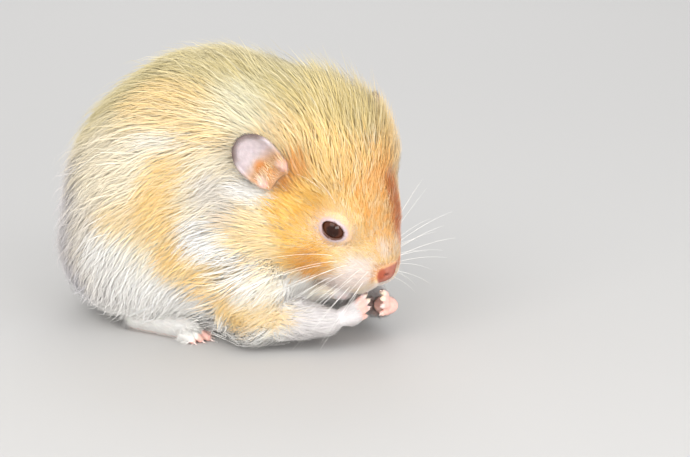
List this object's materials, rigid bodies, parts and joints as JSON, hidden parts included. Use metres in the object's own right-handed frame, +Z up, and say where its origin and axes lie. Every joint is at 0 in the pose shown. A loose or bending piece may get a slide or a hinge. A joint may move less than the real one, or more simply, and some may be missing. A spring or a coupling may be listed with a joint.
{
  "type": "hamster",
  "caption": "Still, life-size Syrian hamster in long golden and white fur, crouched with its head turned and its forepaws held up to its mouth.",
  "frame": {"origin": "on the floor, on the flat under the belly, below the middle of the trunk", "axes": "+X towards the animal's front, +Y to its left, +Z up"},
  "size_m": [0.0973, 0.0679, 0.065],
  "materials": {
    "cream_fur": "long, soft, loose fur",
    "golden_fur": "short to medium soft fur with darker tips",
    "white_fur": "soft white fur",
    "bare_skin": "matt pink skin with a faint moist sheen",
    "ear_skin": "thin grey-lilac skin with fine down",
    "eyeball": "wet, glossy dark brown"
  },
  "bodies": {
    "root": {"trunk": "cream_fur", "neck": "cream_fur", "head": "golden_fur", "lower_jaw": "white_fur", "nose": "bare_skin", "tail": "bare_skin", "eye_right": "eyeball", "eye_left": "eyeball", "ear_right": "ear_skin", "ear_left": "ear_skin", "foreleg_right": "white_fur", "foreleg_left": "white_fur", "forepaw_right": "bare_skin", "forepaw_left": "bare_skin", "hindleg_right": "white_fur", "hindleg_left": "white_fur", "hindfoot_right": "bare_skin", "hindfoot_left": "bare_skin", "whisker_right_1": "white_fur", "whisker_right_2": "white_fur", "whisker_right_3": "white_fur", "whisker_left_1": "white_fur", "whisker_left_2": "white_fur", "whisker_left_3": "white_fur"}
  },
  "joints": []
}
